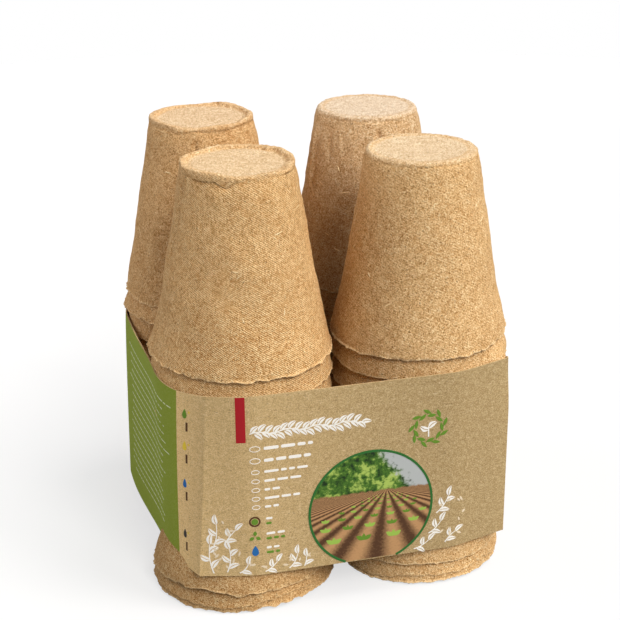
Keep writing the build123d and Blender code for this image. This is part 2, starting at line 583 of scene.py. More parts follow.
class Pot:
    """The uneven skin of one pot, standing on its rim at the origin."""

    def __init__(self, seed, segments, rows, look):
        rng = np.random.default_rng(seed)
        self.rng = rng
        self.turn = full_turn(segments)
        self.look = look
        self.broad = Swell(rng, 10, 3, 60.0)
        self.small = Swell(rng, 24, 22, 12.0)
        self.folds = Folds(rng, look["folds"])
        # Each uneven line is given its most waves round the pot, and how fast finer waves fade
        self.deckle = DECKLE * self.rough(6, 0.5)
        self.deckle += RAG * look["ragged"] * self.rough(44, 0.35)
        self.deckle += TEAR * self.rough(segments // 3, 0.5)
        self.fray = FRAY * look["fray"] * self.rough(segments // 3, 0.6)
        self.ply_foot = look["ply"] + PLY_WAVE * self.rough(7, 0.2)
        self.ply_foot += PLY_TEAR * self.rough(70, 0.4)
        flash = np.clip(0.6 + 0.7 * self.rough(segments // 5, 0.5), *FLASH_LIMITS)
        self.flash = FLASH * look["fray"] * flash
        self.neck = np.clip(0.7 + 0.4 * self.rough(9, 0.4), *NECK_LIMITS)
        lumps = self.rough(60, 0.5)
        over = OVERHANG * self.rough(10, 0.4) + 0.25 + 0.12 * lumps
        self.over = np.clip(over, *OVERHANG_LIMITS) * look["lip"]
        self.hem = HEM_WAVE * self.rough(14, 0.6) * look["lip"] + 0.15 * lumps
        self.hem += self.pushes("hems")
        self.ring = RING_WAVE * self.rough(40, 0.6)
        self.rise = np.clip(0.85 + 0.25 * self.rough(6, 0.3), *RING_LIMITS) * look["ring"]
        self.rise *= 1 - self.pushes("breaks")
        self.bare = 0.75 - 0.3 * look["ring"]
        if look["standing"]:
            self.deckle = self.deckle - self.deckle.min()
        self.rows = []
        self.inner_rows()
        self.rim_rows()
        self.outer_rows(rows)
        self.base_rows()
        self.across, self.up, self.torn, self.base = np.stack(self.rows, axis=1)

    def rough(self, most_waves, fade):
        """Uneven line round the pot that meets itself, with a spread of one."""
        line = np.zeros_like(self.turn)
        for waves in range(1, most_waves + 1):
            size = self.rng.normal() * waves**-fade
            line += size * np.sin(waves * self.turn + self.rng.uniform(0, FULL_TURN))
        return line / line.std()

    def pushes(self, kind):
        """Total of one kind of push, all round the pot."""
        total = np.zeros_like(self.turn)
        for amount, direction, sharpness in self.look[kind]:
            total += amount * facing(self.turn, direction, sharpness)
        return total

    def row(self, radius, height, torn=0.0, base=0.0):
        """Adds one row of points, and how torn and how much of the base it is."""
        level = np.ones_like(self.turn)
        self.rows.append((radius * level, height * level, torn * level, base * level))

    def base_row(self, radius, height, torn, base):
        """Adds one row of the base, gritty as pulp is."""
        grit_out = GRIT * self.rough(90, 0.3)
        grit_up = GRIT * self.rough(90, 0.3)
        self.row(radius + grit_out, height + 0.6 * grit_up, torn, base)

    def shift(self, height):
        """How far the torn edge and the rim's own lean move a row up."""
        lean = math.exp(-height / TILT_REACH) * self.pushes("tilts")
        return math.exp(-height / DECKLE_FADE) * self.deckle + lean

    def push(self, turn, height):
        """How far the wall is out of round."""
        push = LUMP * self.broad.at(turn, height) + PUCKER * self.small.at(turn, height)
        return np.clip(push, -2 * LUMP, self.look["room"]) + self.folds.at(turn, height)

    def out(self, height):
        """How far a row of the wall is pushed out."""
        out = self.push(self.turn, height) * (1 - math.exp(-(height + 1) / PUSH_FADE))
        splays = [(*splay, 0.0) for splay in self.look["splays"]]
        bellies = [(*belly[:3], BELLY_REACH, belly[3]) for belly in self.look["bellies"]]
        for amount, direction, sharpness, reach, middle in splays + bellies:
            fade = math.exp(-(((height - middle) / reach) ** 2))
            out = out + amount * facing(self.turn, direction, sharpness) * fade
        return out

    def inner_rows(self):
        """The floor and the wall inside."""
        floor = POT_HEIGHT - RECESS_DEPTH - FLOOR
        corner = wall_radius(floor) - WALL
        for radius in (HUB, corner / 3, corner * 0.7, corner - 1):
            self.row(radius, floor)
        for height in (*np.linspace(floor - 1, FOOT_ROWS[-1], 9), *INNER_ROWS):
            radius = wall_radius(height) + flare(height) - WALL
            self.row(radius + self.out(height), height + self.shift(height))

    def rim_rows(self):
        """The torn edge that the pot stands on, with the thin flash that the mould leaves."""
        rim = RIM_RADIUS + self.out(0.0) + self.fray
        foot = self.shift(0.0)
        ragged = np.abs(self.fray)
        self.row(rim - WALL * 0.8, 0.3 + foot + 0.4 * ragged, 1.0)
        self.row(rim - WALL * 0.3, foot + 0.5 * ragged, 1.0)
        self.row(rim + 0.8 * self.flash, 0.05 + foot, 1.0)
        self.row(rim + self.flash, FLASH_HEIGHT + foot, 1.0)

    def outer_rows(self, rows):
        """The wall outside, from the flare up to the neck under the lip."""
        lip_foot = POT_HEIGHT - LIP_HEIGHT
        for height in wall_heights(rows, self.look["ply"] > 0):
            drawn = np.clip((height - lip_foot + NECK_LENGTH) / NECK_LENGTH, 0, 1) ** 2
            radius = wall_radius(height) + flare(height) - NECK_DEPTH * drawn * self.neck * self.look["lip"]
            edge = math.exp(-((height - FLASH_HEIGHT) / FLASH_FADE) ** 2)
            radius = radius + self.out(height) + (self.fray + 0.85 * self.flash) * edge
            if self.look["ply"] > 0:
                above = height - self.ply_foot
                fade = np.exp(-np.clip(above, 0, None) / PLY_FADE)
                radius = radius + PLY * smooth(above / PLY_EDGE) * fade
                edge = np.maximum(edge, 0.6 * np.exp(-((above - PLY_EDGE) / PLY_FLUFF) ** 2))
            lifted = height + self.shift(height) + drawn * self.hem
            self.row(radius, lifted, edge)

    def base_rows(self):
        """The lip, the raised ring and the sunk disc."""
        side = wall_radius(POT_HEIGHT) + self.out(POT_HEIGHT)
        foot = POT_HEIGHT - LIP_HEIGHT + self.hem
        soft = 1 - self.look["ring"]
        inner = BASE_RADIUS - RING_WIDTH + 2.0 * self.ring
        disc_height = POT_HEIGHT - RECESS_DEPTH * self.look["ring"]
        top = disc_height + RECESS_DEPTH * self.rise + 0.5 * self.ring
        starts = {"foot": foot, "middle": (foot + top) / 2, "top": top}
        for start, over, out, up, soft_in, soft_down, torn, bare in LIP_ROWS:
            radius = side + out + over * self.over - soft_in * soft
            self.base_row(radius, starts[start] + up - soft_down * soft, torn, bare * self.bare)
        self.base_row(inner + 0.2, top - 0.1 * self.rise, 0.0, self.bare)
        self.base_row(inner - RECESS_SLOPE * 0.4, (top + disc_height) / 2, 0.0, 0.4)
        self.base_row(inner - RECESS_SLOPE, disc_height, 0.0, 0.4)
        disc = BASE_RADIUS - RING_WIDTH - RECESS_SLOPE
        for share in DISC_ROW_SHARES:
            dish = DISH * share * self.broad.at(self.turn, 2 * share * disc)
            dome = self.look["dome"] * (1 - share**2)
            self.row(share * disc, disc_height + dish + dome, 0.0, 1.0)
        self.row(HUB, disc_height + self.look["dome"], 0.0, 1.0)

    def points(self):
        """All points, row by row."""
        x = self.across * np.cos(self.turn)
        y = self.across * np.sin(self.turn)
        return np.stack([x, y, self.up * self.look["stretch"]], axis=-1).reshape(-1, 3)

    def wear(self):
        """How torn each point is, how much of the base, and how much of the mesh's print it bears."""
        twill = self.look["twill"] * np.clip(1 - self.base - self.torn, 0, 1)
        return np.stack([self.torn, self.base, twill], axis=-1).reshape(-1, 3)

    def tint(self):
        """Factor for each point's pulp colour: its stack's tint, with painted shade towards the rim."""
        # The soil here is painted shade: darker on the sides that face the gaps between the stacks and at
        # the front left feet
        soil = self.pushes("painted_shades") * (1 - smooth(self.up / POT_HEIGHT))
        return (self.look["tint"] * (1 - soil[..., None] * PAINTED_SHADE_DEPTH)).reshape(-1, 3)

    def on_wall(self, turn, height):
        """Points on the outer wall."""
        radius = wall_radius(height) + self.push(turn, height)
        up = height * self.look["stretch"]
        return np.stack([radius * np.cos(turn), radius * np.sin(turn), up], axis=-1)


# Splinters of straw: the section gives shares of the width to the side, and the lift off the wall
STRAW_LENGTHS = (1.2, 4.5)
LONG_STRAW = 3.0
LONG_STRAW_SHARE = 0.12
STRAW_WIDTHS = (0.16, 0.36)
STRAW_BEND_SHARE = 0.06
STRAW_HEIGHTS = (8, POT_HEIGHT - 14)
STRAW_STATIONS = 6
STRAW_SECTION = ((-1, -0.06), (0, 0.16), (1, -0.06))


def straw_points(rng, pot):
    """One splinter of straw lying in the wall: a slim three-sided spindle."""
    length = rng.uniform(*STRAW_LENGTHS) + LONG_STRAW * (rng.uniform() < LONG_STRAW_SHARE)
    width = rng.uniform(*STRAW_WIDTHS)
    slope = rng.uniform(0, math.pi)
    height = rng.uniform(*STRAW_HEIGHTS)
    turn = rng.uniform(0, FULL_TURN)
    bend = rng.normal(0, STRAW_BEND_SHARE) * length
    along = np.linspace(-1, 1, STRAW_STATIONS)
    taper = np.sqrt(1 - 0.9 * along**2)
    forward = along * length / 2
    aside = bend * (1 - along**2)
    corners = []
    for offset, lift in STRAW_SECTION:
        across = aside + offset * width * taper
        rise = forward * math.sin(slope) + across * math.cos(slope)
        round_way = forward * math.cos(slope) - across * math.sin(slope)
        spot = pot.on_wall(turn + round_way / wall_radius(height), height + rise)
        outward = spot * np.array([1, 1, 0])
        outward /= np.linalg.norm(outward, axis=1)[:, None]
        corners.append(spot + outward * lift * taper[:, None])
    return np.stack(corners, axis=1).reshape(-1, 3)


def make_pot(stack, level, look, materials):
    """One pot at its place, with its splinters, in place of its solid."""
    name = pot_node(stack, level)
    segments, rows, straws = SHOWN_DETAIL if level in SHOWN_LEVELS else HIDDEN_DETAIL
    seed = [SEED, STACKS.index(stack), level]
    pot = Pot(seed, segments, rows, look)
    points = [pot.points()]
    faces = closed_faces(len(pot.rows), segments)
    kinds = [0] * len(faces)
    start = len(points[0])
    rng = np.random.default_rng(seed + [1])
    for _ in range(straws):
        points.append(straw_points(rng, pot))
        spindle = closed_faces(STRAW_STATIONS, len(STRAW_SECTION))
        faces += [[corner + start for corner in face] for face in spindle]
        kinds += [1] * len(spindle)
        start += len(points[-1])
    cloud = np.concatenate(points)
    grain = cloud + rng.uniform(0, GRAIN_SPAN, 3)
    piece = add_piece(f"{name}_fibre", cloud, faces, materials, grain, kinds)
    wear = np.zeros_like(cloud)
    wear[: len(points[0])] = pot.wear()
    store(piece.data, "wear", wear)
    store(piece.data, "mould", np.tile([*look["mould"], 0.0], (len(cloud), 1)))
    # The tint holds painted shade as well as the stack's tint
    tint = np.ones_like(cloud)
    tint[: len(points[0])] = pot.tint()
    store(piece.data, "tint", tint)
    piece.location = pot_foot(stack, level) * MM
    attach(piece, name)
    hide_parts(name)
    # A foot that splays under the card is given a copy of its mesh as its own
    if look["press"] < 1:
        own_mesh(piece)


FRONT_LEFT, FRONT_RIGHT, BACK_LEFT, BACK_RIGHT = STACKS
ALL_LEVELS = range(1, LEVELS + 1)
FOOT_LEVELS = (1, 2)
FOOT_TWILL_SHARE = 0.25

# Looks of the pots by stack and level, where later lines go over earlier ones. They say how sharp the
# base's ring and lip are, how far its disc swells, how many folds the wall has, how much of the mould's
# mesh shows and its waves across and down each millimetre, the pulp's tint, how far the pot is stretched,
# how torn its rim is, how high a torn ply hangs, how far the wall may bulge, and how narrow the card
# presses the pot.
# Pushes have an amount, a direction in degrees and a sharpness. Splays push the rim out up to a height,
# bellies push the wall out round a height, tilts lift the rim, hems lift the lip's foot, breaks lower the
# ring, and the last kind paints shade: it darkens the pulp where shade falls, in the gaps between the
# stacks and round the front left feet.
LOOKS = (
    (STACKS, ALL_LEVELS, {"stretch": 1.0, "press": 1.0, "room": 0.9}),
    (STACKS, ALL_LEVELS, {"ragged": 1.0, "fray": 1.0, "ply": 0.0}),
    (STACKS, ALL_LEVELS, dict.fromkeys(("splays", "bellies", "tilts", "hems", "breaks", "painted_shades"), ())),
    (STACKS, [1], {"ragged": 0.7, "fray": 0.8, "ply": 2.6}),
    (STACKS, [2], {"ragged": 0.7, "fray": 0.4, "room": 0.1}),
    (STACKS, range(3, 9), {"ragged": 0.5, "fray": 0.3, "room": 0.1}),
    (STACKS, [9], {"ragged": 0.5, "fray": 0.5, "room": 0.1}),
    (STACKS, [10, 11], {"ragged": 0.8, "fray": 0.5, "room": 0.1}),
    ([FRONT_LEFT], ALL_LEVELS, {"ring": 1.0, "lip": 1.35, "dome": 0.2, "folds": 4}),
    ([FRONT_LEFT], ALL_LEVELS, {"twill": 1.0, "mould": (0.675, 1.08), "tint": (1.0, 0.975, 0.95)}),
    ([FRONT_LEFT], [1, 2], {"ragged": 1.3, "fray": 0.8, "room": 0.9}),
    # Painted shade on the front left feet, at the front and more at the left
    ([FRONT_LEFT], [1, 2], {"painted_shades": [(0.12, 270, 1), (0.65, 190, 1)]}),
    ([FRONT_LEFT], [1], {"splays": [(5.5, 200, 2, 20)]}),
    ([FRONT_LEFT], [2], {"splays": [(5.2, 200, 2, 20)], "tilts": [(-2.0, 252, 200)], "press": 0.9}),
    ([FRONT_LEFT], range(3, 9), {"splays": [(-1.8, 192, 4, 20)]}),
    ([FRONT_LEFT], [9, 10, 11], {"splays": [(2.5, 145, 16, 9)]}),
    ([FRONT_LEFT], [9, 10, 11, 12], {"tilts": [(1.2, 20, 2), (3.6, 160, 10)]}),
    ([FRONT_LEFT], [12], {"stretch": 1.033, "splays": [(2.3, 172, 70, 5)], "breaks": [(0.8, 262, 14)]}),
    ([FRONT_LEFT], [12], {"hems": [(-2.2, 247, 90), (-1.0, 225, 20)]}),
    ([FRONT_RIGHT], ALL_LEVELS, {"ring": 0.2, "lip": 0.3, "dome": -0.5, "folds": 1}),
    ([FRONT_RIGHT], ALL_LEVELS, {"twill": 0.3, "mould": (0.4, 0.86), "tint": (1.03, 1.04, 1.07)}),
    # Painted shade on the side that faces the front left stack
    ([FRONT_RIGHT], ALL_LEVELS, {"painted_shades": [(0.5, 170, 2)]}),
    ([FRONT_RIGHT], range(3, 12), {"splays": [(3.3, 315, 72, 8)]}),
    ([FRONT_RIGHT], [11], {"bellies": [(1.6, 340, 8, 4.0)]}),
    ([FRONT_RIGHT], [12], {"stretch": 1.012, "tilts": [(2.4, 345, 10)]}),
    ([BACK_LEFT], ALL_LEVELS, {"ring": 0.9, "lip": 1.0, "dome": 0.2, "folds": 12}),
    ([BACK_LEFT], ALL_LEVELS, {"twill": 0.3, "mould": (0.55, 1.0), "tint": (0.98, 0.95, 0.95)}),
    ([BACK_LEFT], [9], {"splays": [(8.0, 222, 14, 12)], "tilts": [(4.6, 208, 2)], "fray": 0.7}),
    ([BACK_LEFT], [10], {"splays": [(5.5, 222, 14, 12)], "tilts": [(3.6, 208, 2)], "fray": 0.7}),
    ([BACK_LEFT], [11], {"splays": [(1.1, 172, 6, 5), (3.0, 225, 6, 8)], "tilts": [(2.8, 208, 2)]}),
    ([BACK_LEFT], [11], {"ragged": 1.0, "fray": 0.8}),
    ([BACK_LEFT], [12], {"stretch": 1.02, "splays": [(-0.8, 165, 4, 10)]}),
    ([BACK_RIGHT], ALL_LEVELS, {"ring": 0.2, "lip": 0.4, "dome": 0.1, "folds": 20}),
    ([BACK_RIGHT], ALL_LEVELS, {"twill": 0.2, "mould": (0.4, 0.86), "tint": (1.03, 1.09, 1.28)}),
    # Painted shade on the side that faces the middle of the pack
    ([BACK_RIGHT], ALL_LEVELS, {"painted_shades": [(1.3, 235, 1)]}),
)


def pot_look(stack, level):
    """What sets one pot apart, and how its rim leans and is pushed."""
    look = {"standing": level == 1}
    for stacks, levels, changes in LOOKS:
        if stack in stacks and level in levels:
            look.update(changes)
    if level in FOOT_LEVELS:
        look["twill"] *= FOOT_TWILL_SHARE
    return look


# The sleeve: distances along the card run from the middle of its front, below zero to the left

INNER_RADIUS = BAND_RADIUS - CARD
LEFT_STANDOFF_TOP = 0.5
LEAN_BOTTOM = math.radians(-4.5)
LEAN_TOP = math.radians(-10.0)
GREEN_EDGE_BOTTOM = 88.3
GREEN_EDGE_TOP = 82.0
LEFT_SQUEEZE = 1.5
LEFT_FLARE = 2.4
DROOP = 7.0
CORNER_DIP = 1.7
DIP_RUN = 86
PULL_WIDTH = 22
FLARE_START = 125
FLARE_RISE = 60
FLARE_END = 215
FLARE_FALL = 70
LEFT_DROOP_START = 95
LEFT_DROOP_RISE = 90
RIGHT_DROOP_START = 74
RIGHT_DROOP_RISE = 20
SLACK_END_SHARE = 0.7
COLUMN_STEP = 2.0
GRAIN_STRETCH = 90
SHARP = math.radians(50)


def height_share(height):
    """Where a height lies between the sleeve's bottom edge and its top edge."""
    return (np.asarray(height, float) - BAND_BOTTOM) / (BAND_TOP - BAND_BOTTOM)


def crease_lean(height, left):
    """How far a front crease is turned round its rim: on the left the pack pulls it askew."""
    return np.where(left, LEAN_BOTTOM + (LEAN_TOP - LEAN_BOTTOM) * height_share(height), 0.0)


def crease_turn(height, left):
    """Half the angle between the straight runs at a front crease, pulled flat at the top on the left."""
    flat = (CREASE_STANDOFF - LEFT_STANDOFF_TOP) * np.clip(1 - height_share(height), 0, 1) ** 1.2
    taut = smooth((height_share(height) - SLACK_END_SHARE) / (1 - SLACK_END_SHARE))
    slack = RIGHT_SLACK * (1 - taut)
    standoff = np.where(left, LEFT_STANDOFF_TOP + flat, CREASE_STANDOFF + slack)
    return np.arccos(INNER_RADIUS / (INNER_RADIUS + standoff))


def corner_run(turn):
    """Length of card round one corner."""
    return BAND_RADIUS * (QUARTER - 2 * turn + 2 * np.tan(turn))


def green_edge(height):
    """Distance along the card at which the green side begins."""
    return GREEN_EDGE_BOTTOM + (GREEN_EDGE_TOP - GREEN_EDGE_BOTTOM) * height_share(height)


BACK_TURN = math.acos(INNER_RADIUS / (INNER_RADIUS + CREASE_STANDOFF))
BACK_CORNER = float(corner_run(BACK_TURN))
SIDE_RUN = HALF_PITCH + BACK_CORNER
BACK_RUN = SIDE_RUN + 2 * HALF_PITCH


def left_bulge(far, height):
    """How far the left side stands out: drawn in beside the front pots, and loose at the back corner."""
    lower = np.clip(1 - height_share(height), 0, 1)
    squeeze = LEFT_SQUEEZE * np.exp(-(((far - SIDE_RUN) / PULL_WIDTH) ** 2)) * (0.3 + 0.7 * lower)
    loose = smooth((far - FLARE_START) / FLARE_RISE) * (1 - smooth((far - FLARE_END) / FLARE_FALL))
    return LEFT_FLARE * lower**0.7 * loose - squeeze


def droop(far, height, left):
    """How far the sleeve has slipped down at its sides and back, and dips at its front left corner."""
    dip = CORNER_DIP * np.exp(-(((far - DIP_RUN) / PULL_WIDTH) ** 2)) * np.clip(height_share(height), 0, 1)
    left_side = DROOP * smooth((far - LEFT_DROOP_START) / LEFT_DROOP_RISE) + dip
    right_side = DROOP * smooth((far - RIGHT_DROOP_START) / RIGHT_DROOP_RISE)
    return np.where(left, left_side, right_side)


def corner_walk(run, lean, turn):
    """Place and direction on the way round one rim: x towards the side, y towards the back."""
    leave = QUARTER / 2 + lean - turn
    touch = QUARTER / 2 + lean + turn
    first = BAND_RADIUS * leave
    crease = first + BAND_RADIUS * np.tan(turn)
    second = crease + BAND_RADIUS * np.tan(turn)
    zones = [run < first, run < crease, run < second]
    angle = np.select(zones, [run / BAND_RADIUS, leave, touch], touch + (run - second) / BAND_RADIUS)
    slide = np.select(zones, [0 * run, run - first, run - second], 0 * run)
    x = BAND_RADIUS * np.sin(angle) + slide * np.cos(angle)
    y = slide * np.sin(angle) - BAND_RADIUS * np.cos(angle)
    near = np.abs(run - crease) < CREASE_HALF
    bent = leave + 2 * turn * smooth((run - crease + CREASE_HALF) / (2 * CREASE_HALF))
    return x, y, np.where(near, bent, angle)


def card_points(run, height, lift):
    """Points on the sleeve at a distance along the card, a height and a lift off its outside."""
    run, height, lift = np.broadcast_arrays(*(np.asarray(part, float) for part in (run, height, lift)))
    left = run < 0
    far = np.abs(run)
    lean = crease_lean(height, left)
    turn = crease_turn(height, left)
    side = HALF_PITCH + corner_run(turn)
    back = side + 2 * HALF_PITCH
    last = back + BACK_CORNER + HALF_PITCH
    front_x, front_y, front_heading = corner_walk(far - HALF_PITCH, lean, turn)
    back_x, back_y, back_heading = corner_walk(far - back, 0 * lean, BACK_TURN + 0 * turn)
    zones = [far < HALF_PITCH, far < side, far < back, far < back + BACK_CORNER]
    outer = HALF_PITCH + BAND_RADIUS
    xs = [far, HALF_PITCH + front_x, outer + 0 * far, HALF_PITCH - back_y]
    ys = [0 * far - outer, front_y - HALF_PITCH, far - side - HALF_PITCH, HALF_PITCH + back_x]
    headings = [0 * far, front_heading, 0 * far + QUARTER, QUARTER + back_heading]
    x = np.select(zones, xs, last - far)
    y = np.select(zones, ys, outer)
    heading = np.select(zones, headings, 2 * QUARTER)
    stand = lift + np.where(left, left_bulge(far, height), 0.0)
    x = (x + stand * np.sin(heading)) * np.where(left, -1, 1)
    y = y - stand * np.cos(heading)
    return np.stack([x, y, height - droop(far, height, left)], axis=-1)


def card_stops(height, left):
    """Distances along half the card where its form or its colour changes."""
    turn = float(crease_turn(height, left))
    lean = float(crease_lean(height, left))
    crease = HALF_PITCH + BAND_RADIUS * (QUARTER / 2 + lean - turn + math.tan(turn))
    side = HALF_PITCH + float(corner_run(turn))
    back = side + 2 * HALF_PITCH
    back_crease = back + BACK_CORNER / 2
    end = back + BACK_CORNER
    front_stops = [0, HALF_PITCH, crease - CREASE_HALF, crease + CREASE_HALF]
    side_stops = [float(green_edge(height)), side, back, back_crease - CREASE_HALF]
    return front_stops + side_stops + [back_crease + CREASE_HALF, end, end + HALF_PITCH]


COLUMN_COUNTS = [max(2, round(gap / COLUMN_STEP)) for gap in np.diff(card_stops(BAND_BOTTOM, False))]
GREEN_ZONES = (4, 5, 6)
KRAFT, GREEN, EDGE, INSIDE = range(4)
CARD_ROWS = 25


def half_runs(height, left):
    """Distances along half the card at which its mesh has columns."""
    stops = card_stops(height, left)
    parts = [np.linspace(a, b, n, endpoint=False) for a, b, n in zip(stops, stops[1:], COLUMN_COUNTS)]
    return np.concatenate(parts + [stops[-1:]])


def card_row(height):
    """Distances all round the card at one height, from the middle of the front."""
    return np.concatenate([half_runs(height, False), -half_runs(height, True)[-2:0:-1]])


def make_sleeve(materials):
    """The band of card, in place of its solid."""
    heights = np.linspace(BAND_BOTTOM, BAND_TOP, CARD_ROWS)
    levels = np.concatenate([heights, heights[::-1]])
    lifts = np.repeat([0.0, -CARD], CARD_ROWS)
    runs = [card_row(height) for height in levels]
    rows = [card_points(run, height, lift) for run, height, lift in zip(runs, levels, lifts)]
    points = np.concatenate(rows)
    count = len(levels)
    segments = len(runs[0])
    faces = band_faces(count, segments, count)
    zones = np.repeat(np.arange(len(COLUMN_COUNTS)), COLUMN_COUNTS)
    green = np.concatenate([np.zeros(len(zones), bool), np.isin(zones, GREEN_ZONES)[::-1]])
    kinds = np.full((count, segments), KRAFT)
    kinds[: CARD_ROWS - 1, green] = GREEN
    kinds[CARD_ROWS - 1] = EDGE
    kinds[CARD_ROWS:-1] = INSIDE
    kinds[-1] = EDGE
    depths = np.repeat(lifts * GRAIN_STRETCH, segments)
    grain = np.stack([np.concatenate(runs), np.repeat(levels, segments), depths], axis=-1)
    piece = add_piece("sleeve_card", points, faces, materials, grain, kinds.ravel().tolist())
    piece.data.set_sharp_from_angle(angle=SHARP)
    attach(piece, "sleeve")
    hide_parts("sleeve")


# Thin layers on the card: the glue flap, and the print of plain ornament and bars

INK = 0.05
INK_STEP = 0.004
INK_STEPS = 9
INK_GRAIN = 300.0

# Bars and leaves of the print
BAR_STEP = 2.5
BAR_CAP = np.linspace(0.3, 1, 4) * QUARTER
BAR_LENGTHS = (2.2, 7.0)
BAR_GAP = 0.9
SHORTEST_BAR = 1.2
LEAF_STATIONS = 11
LEAFLET_STATIONS = 7
LEAF_BEND_SHARE = 0.1
VEIN_SHARE = 0.09
SPRIG_STATIONS = 12
SPRIG_STEM = (0.6, 0.3)
SPRIG_LEAF_SHARE = 0.4
SPRIG_SPREAD = 0.9
SPRIG_SHRINK = 0.05
ROUND_POINTS = 24


def front(shape):
    """Shape on the front, in distances along the card and heights."""
    return shape


def strip(shape):
    """Shape beside the green, in distances from the green's edge towards the front, and heights."""
    return np.stack([shape[:, 0] - green_edge(shape[:, 1]), shape[:, 1]], axis=-1)


def turned(shape, angle, run, height):
    """Shape turned against the clock and put at its place."""
    across = shape[:, 0] * math.cos(angle) - shape[:, 1] * math.sin(angle)
    up = shape[:, 0] * math.sin(angle) + shape[:, 1] * math.cos(angle)
    return np.column_stack([across + run, up + height])


def level_line(runs, height):
    """Points along the card at one height."""
    return np.column_stack([runs, np.full(len(runs), height)])


def upright_line(run, heights):
    """Points up the card at one distance along it."""
    return np.column_stack([np.full(len(heights), run), heights])


def oval(run, height, wide, tall, count):
    """Outline given by its half-width and half-height."""
    turn = full_turn(count)
    return np.column_stack([run + wide * np.cos(turn), height + tall * np.sin(turn)])


class Layer:
    """Flat shapes of one finish, gathered into one thin mesh on the card."""

    def __init__(self, name, material, top=INK, low=-INK):
        self.name = name
        self.material = material
        self.top = top
        self.low = low
        self.shapes = 0
        self.points = []
        self.grain = []
        self.faces = []
        self.count = 0

    def lay(self, shape, lift):
        """Adds points on the card and gives their numbers."""
        self.points.append(card_points(shape[:, 0], shape[:, 1], lift))
        self.grain.append(np.column_stack([shape, np.full(len(shape), INK_GRAIN)]))
        numbers = np.arange(self.count, self.count + len(shape))
        self.count += len(shape)
        return numbers

    def next_top(self):
        """Lift of the next shape, a little apart from the last so that shapes can lie over each other."""
        self.shapes += 1
        return self.top + INK_STEP * (self.shapes % INK_STEPS)

    def blob(self, outline, place=front):
        """Filled outline that can be seen whole from its middle."""
        outline = np.asarray(outline, float)
        ahead = np.roll(outline, -1, axis=0)
        area = (outline[:, 0] * ahead[:, 1] - ahead[:, 0] * outline[:, 1]).sum()
        outline = outline if area > 0 else outline[::-1]
        middle = outline.mean(axis=0)[None, :]
        lift = self.next_top()
        top = self.lay(place(outline), lift)
        low = self.lay(place(outline), self.low)
        peak = self.lay(place(middle), lift)[0]
        pit = self.lay(place(middle), self.low)[0]
        for here in range(len(outline)):
            there = (here + 1) % len(outline)
            self.faces.append([peak, top[here], top[there]])
            self.faces.append([pit, low[there], low[here]])
            self.faces.append([low[here], low[there], top[there], top[here]])

    def stroke(self, line, width, place=front, closed=False):
        """Line of a width, which may change along it."""
        line = np.asarray(line, float)
        ahead = np.roll(line, -1, axis=0) - np.roll(line, 1, axis=0)
        if not closed:
            ahead[0] = line[1] - line[0]
            ahead[-1] = line[-1] - line[-2]
        ahead /= np.linalg.norm(ahead, axis=1)[:, None]
        aside = np.column_stack([-ahead[:, 1], ahead[:, 0]])
        aside = aside * (np.broadcast_to(width, len(line)) / 2)[:, None]
        lift = self.next_top()
        rails = [
            self.lay(place(line - aside), lift),
            self.lay(place(line + aside), lift),
            self.lay(place(line + aside), self.low),
            self.lay(place(line - aside), self.low),
        ]
        count = len(line)
        for here in range(count if closed else count - 1):
            there = (here + 1) % count
            for rail, other in zip(rails, rails[1:] + rails[:1]):
                self.faces.append([rail[here], rail[there], other[there], other[here]])
        if not closed:
            self.faces.append([rail[0] for rail in rails])
            self.faces.append([rail[-1] for rail in rails[::-1]])

    def bar(self, start, end, height, tall):
        """Level bar with rounded ends."""
        cap = min(tall, end - start) / 2
        ends = cap * (1 - np.cos(BAR_CAP))
        inner = np.linspace(start + cap, end - cap, max(2, round((end - start) / BAR_STEP)))[1:-1]
        runs = np.concatenate([start + ends, inner, end - ends[::-1]])
        widths = np.concatenate([np.sin(BAR_CAP), np.ones(len(inner)), np.sin(BAR_CAP[::-1])]) * tall
        self.stroke(level_line(runs, height), widths)

    def bars(self, rng, start, end, height, tall):
        """Row of short bars of uneven length."""
        run = start
        while end - run > SHORTEST_BAR:
            stop = min(run + rng.uniform(*BAR_LENGTHS), end)
            self.bar(run, stop, height, tall)
            run = stop + BAR_GAP

    def leaf(self, run, height, length, width, angle):
        """Pointed leaf in two halves, with its vein left bare."""
        share = np.linspace(0, 1, LEAF_STATIONS)
        swell = np.sin(math.pi * share**0.8) ** 0.9 * width / 2
        bend = LEAF_BEND_SHARE * length * np.sin(math.pi * share)
        gap = VEIN_SHARE * width
        for side in (-1, 1):
            outer = np.column_stack([share * length, bend + side * (gap + swell)])
            inner = np.column_stack([share[-2:0:-1] * length, bend[-2:0:-1] + side * gap])
            self.blob(turned(np.concatenate([outer, inner]), angle, run, height))

    def leaflet(self, run, height, length, width, angle):
        """Small plain leaf."""
        share = np.linspace(0, 1, LEAFLET_STATIONS)
        swell = np.sin(math.pi * share) * width / 2
        upper = np.column_stack([share * length, swell])
        lower = np.column_stack([share[-2:0:-1] * length, -swell[-2:0:-1]])
        self.blob(turned(np.concatenate([upper, lower]), angle, run, height))

    def sprig(self, run, height, angle, length, bend, leaves, size):
        """Curved stem with leaves by turns on both sides and one at its tip."""
        way = angle + bend * np.linspace(0, 1, SPRIG_STATIONS)
        steps = np.column_stack([np.cos(way), np.sin(way)]) * length / (SPRIG_STATIONS - 1)
        line = np.concatenate([[[0.0, 0.0]], np.cumsum(steps[:-1], axis=0)]) + [run, height]
        wide = SPRIG_LEAF_SHARE * size
        self.stroke(line, np.linspace(*SPRIG_STEM, SPRIG_STATIONS))
        for index in range(leaves):
            spot = 2 + index * (SPRIG_STATIONS - 3) // leaves
            side = 1 if index % 2 else -1
            self.leaf(*line[spot], size * (1 - SPRIG_SHRINK * index), wide, way[spot] + side * SPRIG_SPREAD)
        self.leaf(*line[-1], size, wide, way[-1])

    def disc(self, run, height, radius, place=front):
        """Round spot."""
        self.blob(oval(run, height, radius, radius, ROUND_POINTS), place)

